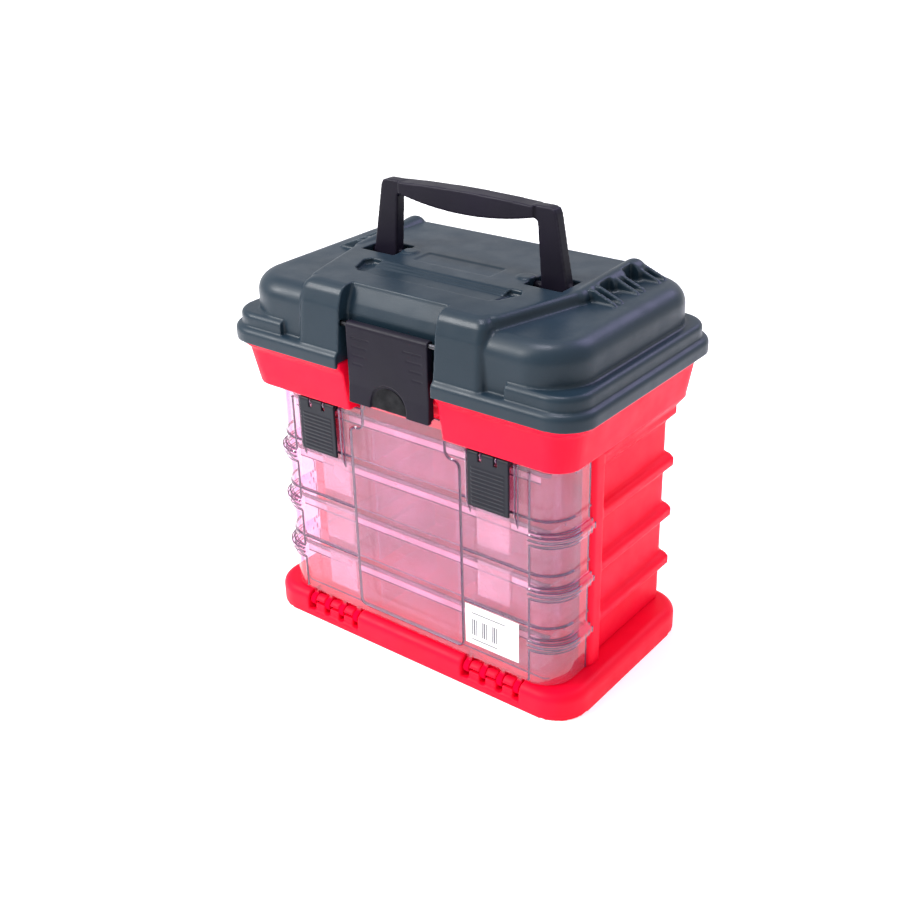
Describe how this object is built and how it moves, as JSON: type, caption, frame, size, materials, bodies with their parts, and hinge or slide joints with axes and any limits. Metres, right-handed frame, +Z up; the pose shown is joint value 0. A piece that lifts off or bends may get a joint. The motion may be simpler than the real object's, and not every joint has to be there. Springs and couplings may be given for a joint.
{
  "type": "tackle box",
  "caption": "Fishing tackle box: a bulk bay under a hinged lid with handle and latch, over a rack of slide-out lidded trays behind a clear drop-down door.",
  "frame": {"origin": "on the ground at the middle of the box's footprint", "axes": "+Z up, +X to the right seen from the front, -Y the front with the door and latches"},
  "size_m": [0.27, 0.17, 0.299],
  "materials": {
    "red_plastic": "semi-gloss moulded polypropylene",
    "green_grey_plastic": "fine-textured moulded polypropylene, satin",
    "black_plastic": "satin moulded polypropylene",
    "dark_latch_plastic": "satin moulded polypropylene",
    "clear_door_plastic": "clear, faintly smoke-tinted polystyrene",
    "clear_tray_plastic": "clear moulded polypropylene",
    "divider_plastic": "frosted polypropylene",
    "snap_plastic": "frosted polypropylene",
    "sticker_paper": "white paper label",
    "steel": "drawn steel wire"
  },
  "bodies": {
    "case": {"case_base": "red_plastic", "rack_frame": "red_plastic", "bulk_bay": "red_plastic", "lid_hinge_pins": "steel"},
    "lid": {"lid": "green_grey_plastic", "main_latch_pin": "steel"},
    "handle": {"handle": "black_plastic"},
    "main_latch": {"main_latch": "black_plastic"},
    "door": {"front_door": "clear_door_plastic", "door_latch_pins": "steel", "price_sticker": "sticker_paper"},
    "door_latch_left": {"door_latch_left": "dark_latch_plastic"},
    "door_latch_right": {"door_latch_right": "dark_latch_plastic"},
    "tray_1_set": {"tray_1": "clear_tray_plastic", "tray_lid_1": "clear_tray_plastic", "dividers_1": "divider_plastic", "tray_latches_1": "snap_plastic"},
    "tray_2_set": {"tray_2": "clear_tray_plastic", "tray_lid_2": "clear_tray_plastic", "dividers_2": "divider_plastic", "tray_latches_2": "snap_plastic"},
    "tray_3_set": {"tray_3": "clear_tray_plastic", "tray_lid_3": "clear_tray_plastic", "dividers_3": "divider_plastic", "tray_latches_3": "snap_plastic"},
    "tray_4_set": {"tray_4": "clear_tray_plastic", "tray_lid_4": "clear_tray_plastic", "dividers_4": "divider_plastic", "tray_latches_4": "snap_plastic"}
  },
  "joints": [
    {"name": "lid_hinge", "type": "hinge", "parent": "case", "child": "lid", "pos_m": [0, 0.081, 0.203], "axis": [-1, 0, 0], "range_deg": [0, 105]},
    {"name": "handle_fold", "type": "hinge", "parent": "lid", "child": "handle", "pos_m": [0, 0.002, 0.2485], "axis": [1, 0, 0], "range_deg": [0, 54]},
    {"name": "main_latch_hinge", "type": "hinge", "parent": "lid", "child": "main_latch", "pos_m": [0, -0.0768, 0.2308], "axis": [-1, 0, 0], "range_deg": [0, 110]},
    {"name": "door_hinge", "type": "hinge", "parent": "case", "child": "door", "pos_m": [0, -0.068, 0.012], "axis": [1, 0, 0], "range_deg": [0, 90]},
    {"name": "door_latch_left_hinge", "type": "hinge", "parent": "door", "child": "door_latch_left", "pos_m": [-0.0675, -0.0708, 0.1682], "axis": [-1, 0, 0], "range_deg": [0, 60]},
    {"name": "door_latch_right_hinge", "type": "hinge", "parent": "door", "child": "door_latch_right", "pos_m": [0.0675, -0.0708, 0.1682], "axis": [-1, 0, 0], "range_deg": [0, 60]},
    {"name": "tray_1_slide", "type": "slide", "parent": "case", "child": "tray_1_set", "axis": [0, -1, 0], "range_m": [0, 0.018]},
    {"name": "tray_2_slide", "type": "slide", "parent": "case", "child": "tray_2_set", "axis": [0, -1, 0], "range_m": [0, 0.08]},
    {"name": "tray_3_slide", "type": "slide", "parent": "case", "child": "tray_3_set", "axis": [0, -1, 0], "range_m": [0, 0.1]},
    {"name": "tray_4_slide", "type": "slide", "parent": "case", "child": "tray_4_set", "axis": [0, -1, 0], "range_m": [0, 0.11]}
  ],
  "couplings": [
    {"joint": "tray_1_slide", "follows": "door_hinge", "m_per_rad": 0.011459},
    {"joint": "tray_2_slide", "follows": "door_hinge", "m_per_rad": 0.050929},
    {"joint": "tray_3_slide", "follows": "door_hinge", "m_per_rad": 0.063661},
    {"joint": "tray_4_slide", "follows": "door_hinge", "m_per_rad": 0.070028}
  ]
}
